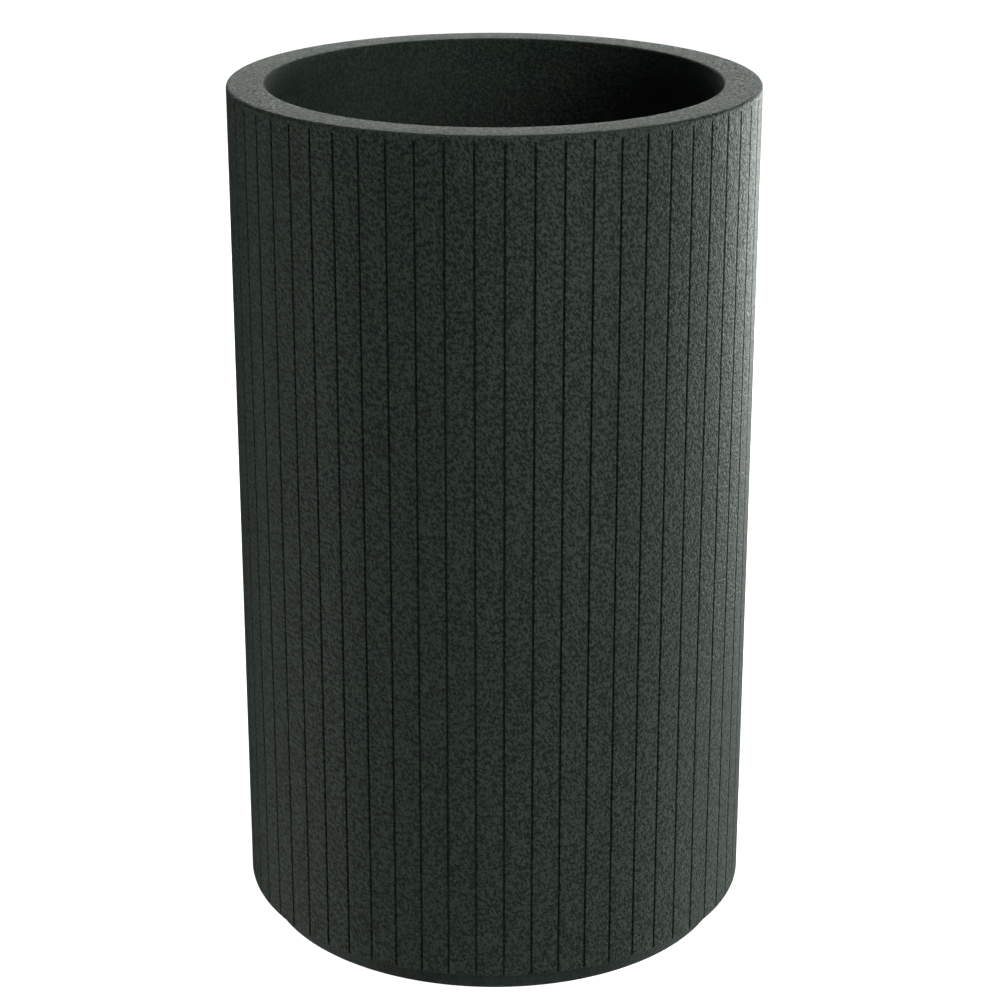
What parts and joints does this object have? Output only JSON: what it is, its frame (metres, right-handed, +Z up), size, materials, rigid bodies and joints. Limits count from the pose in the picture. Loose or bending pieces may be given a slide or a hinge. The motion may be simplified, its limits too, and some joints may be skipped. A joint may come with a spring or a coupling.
{
  "type": "tall round planter",
  "caption": "Tall round floor planter: straight wall with narrow upright grooves, wide flat rim, recessed plinth, lift-out liner with fold-up handles and a drain plug.",
  "frame": {"origin": "centre of the footprint, on the floor that the rubber pads stand on", "axes": "+Z up along the planter's axis; the liner's handles lie towards +X and -X, and their pivots run along Y"},
  "size_m": [0.36, 0.36, 0.6],
  "materials": {
    "shell_plastic": "dark green-grey, coarse moulded grain on the wall, fine grain on the rim",
    "base_plastic": "dark green-grey, fine moulded grain",
    "liner_plastic": "black, fine moulded grain",
    "grid_plastic": "black, fine moulded grain",
    "handle_plastic": "black, satin",
    "seal_rubber": "black, dull",
    "pad_rubber": "black, dull",
    "plug_rubber": "dark grey, dull",
    "screw_steel": "zinc plated"
  },
  "bodies": {
    "planter": {"outer_shell": "shell_plastic", "base_plinth": "base_plastic", "base_seal": "seal_rubber", "base_screws": "screw_steel", "foot_pad_1": "pad_rubber", "foot_pad_2": "pad_rubber", "foot_pad_3": "pad_rubber", "foot_pad_4": "pad_rubber"},
    "drain_plug": {"drain_plug": "plug_rubber"},
    "liner": {"liner": "liner_plastic"},
    "drainage_grid": {"drainage_grid": "grid_plastic"},
    "handle_left": {"liner_handle_left": "handle_plastic"},
    "handle_right": {"liner_handle_right": "handle_plastic"}
  },
  "joints": [
    {"name": "liner_lift", "type": "slide", "parent": "planter", "child": "liner", "axis": [0, 0, 1], "range_m": [0, 0.4]},
    {"name": "grid_lift", "type": "slide", "parent": "liner", "child": "drainage_grid", "axis": [0, 0, 1], "range_m": [0, 0.4]},
    {"name": "plug_pull", "type": "slide", "parent": "planter", "child": "drain_plug", "axis": [0, 0, 1], "range_m": [0, 0.05]},
    {"name": "handle_left_fold", "type": "hinge", "parent": "liner", "child": "handle_left", "pos_m": [-0.09334, 0, 0.5183], "axis": [0, 1, 0], "range_deg": [0, 90]},
    {"name": "handle_right_fold", "type": "hinge", "parent": "liner", "child": "handle_right", "pos_m": [0.09334, 0, 0.5183], "axis": [0, -1, 0], "range_deg": [0, 90]}
  ]
}
